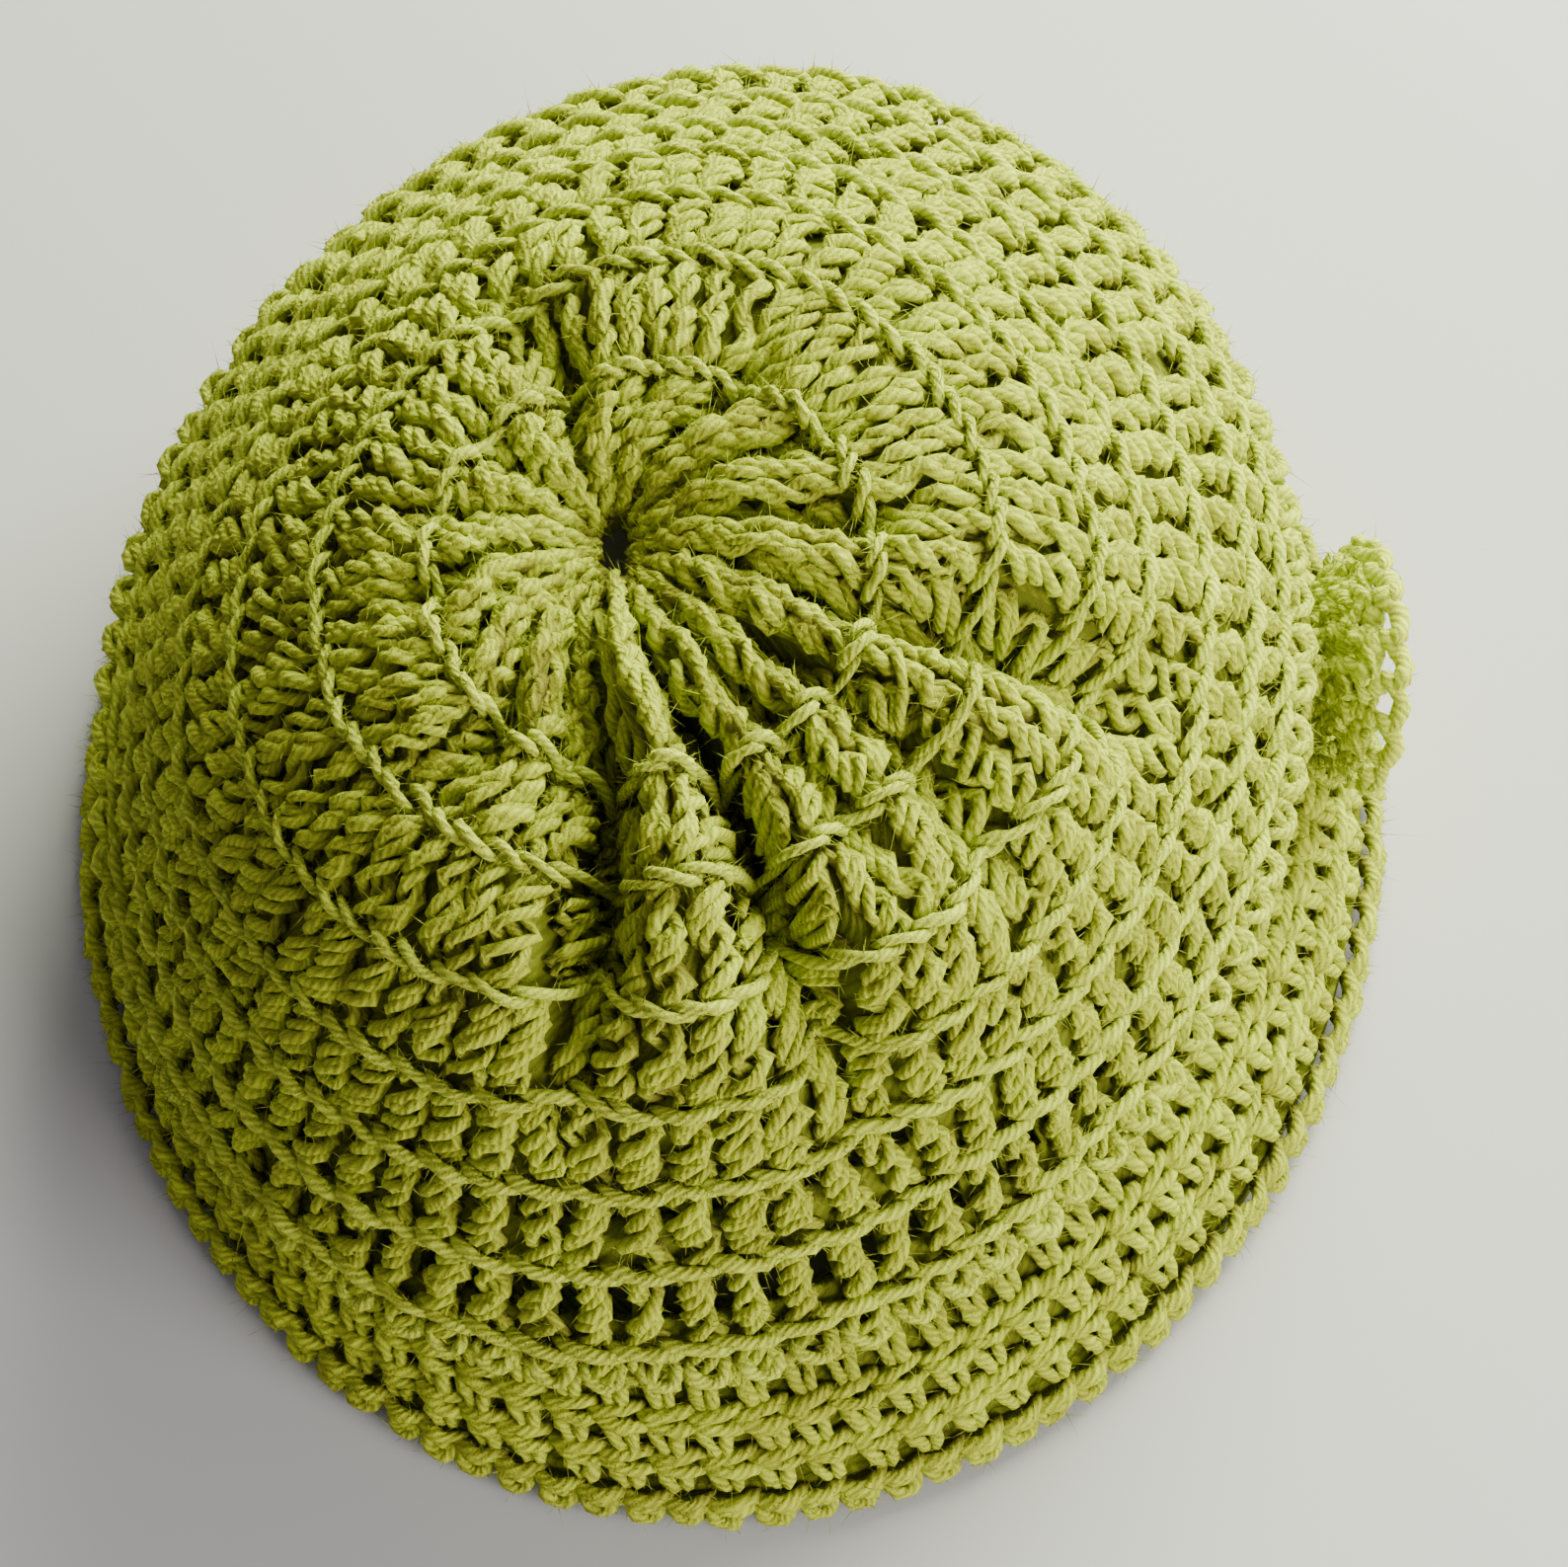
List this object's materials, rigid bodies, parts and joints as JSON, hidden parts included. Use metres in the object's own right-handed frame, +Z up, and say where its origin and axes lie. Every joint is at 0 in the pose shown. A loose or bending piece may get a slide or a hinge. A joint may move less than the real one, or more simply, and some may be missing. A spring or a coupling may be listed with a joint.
{
  "type": "crochet slouchy hat",
  "caption": "Soft crocheted slouchy hat: a gathered, ridged crown that bulges over a flared band with a knobbed rim, and a round flower at the side.",
  "frame": {"origin": "middle of the hat's box, on the surface that the rim rests on", "axes": "+Z up through the crown; the wearer's face would look along +Y, the nape is toward -Y, and +X is the wearer's right, where the flower is"},
  "size_m": [0.184, 0.205, 0.1153],
  "materials": {
    "crown_yarn": "soft plied wool-mix yarn in tall crochet stitches, matt with a fine halo of fibres",
    "band_yarn": "the same yarn in short V-shaped crochet stitches",
    "edging_yarn": "the same yarn in a row of small knobs",
    "flower_yarn": "the same yarn in open lacy crochet"
  },
  "bodies": {
    "root": {"crown": "crown_yarn", "band": "band_yarn", "edging": "edging_yarn", "flower": "flower_yarn"}
  },
  "joints": []
}
